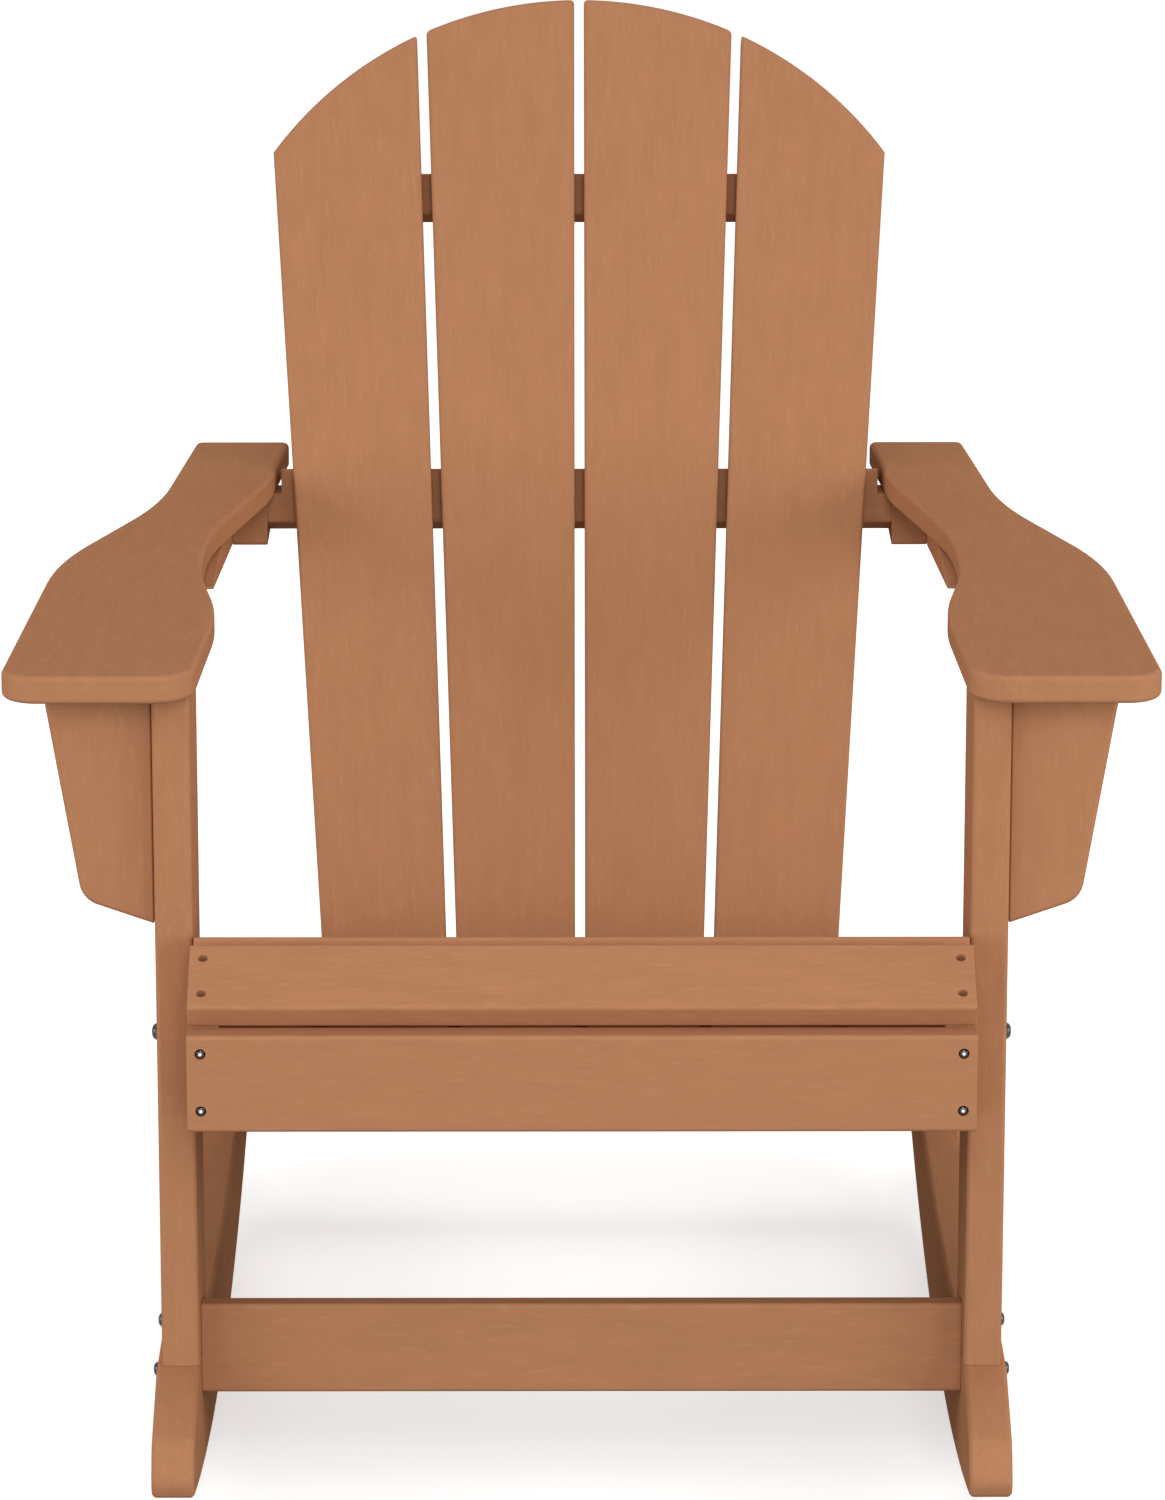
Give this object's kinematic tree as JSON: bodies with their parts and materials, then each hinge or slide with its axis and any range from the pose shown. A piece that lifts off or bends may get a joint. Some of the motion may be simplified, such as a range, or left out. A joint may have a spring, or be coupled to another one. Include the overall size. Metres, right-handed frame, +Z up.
{
  "type": "rocking adirondack chair",
  "caption": "Outdoor rocking chair with a fanned slat back, sloping slat seat, wide flat arms on bracketed legs and two curved rockers.",
  "frame": {"origin": "middle of the chair's box at floor height, where the rockers stand on the floor", "axes": "+Z up, +X to the sitter's left, the sitter looks along -Y"},
  "size_m": [0.766, 0.8717, 0.9289],
  "materials": {
    "lumber": "satin recycled board lumber, teak brown with a faint streaked grain along each board",
    "fasteners": "bright stainless steel"
  },
  "bodies": {
    "root": {"rocker_left": "lumber", "rocker_right": "lumber", "front_leg_left": "lumber", "front_leg_right": "lumber", "arm_left": "lumber", "arm_right": "lumber", "arm_bracket_left": "lumber", "arm_bracket_right": "lumber", "arm_cleat_left": "lumber", "arm_cleat_right": "lumber", "arm_block_left": "lumber", "arm_block_right": "lumber", "seat_side_rail_left": "lumber", "seat_side_rail_right": "lumber", "front_apron": "lumber", "front_stretcher": "lumber", "rear_stretcher": "lumber", "seat_slat_1": "lumber", "seat_slat_2": "lumber", "seat_slat_3": "lumber", "seat_slat_4": "lumber", "seat_slat_5": "lumber", "seat_slat_6": "lumber", "seat_slat_7": "lumber", "back_slat_outer_left": "lumber", "back_slat_inner_left": "lumber", "back_slat_inner_right": "lumber", "back_slat_outer_right": "lumber", "upper_back_rail": "lumber", "lower_back_rail": "lumber", "bottom_back_rail": "lumber", "seat_slat_screws": "fasteners", "back_slat_screws": "fasteners", "apron_screws": "fasteners", "leg_bolts": "fasteners", "stretcher_screws": "fasteners", "rear_bolts": "fasteners", "side_rail_screws": "fasteners", "cleat_screws": "fasteners"}
  },
  "joints": []
}
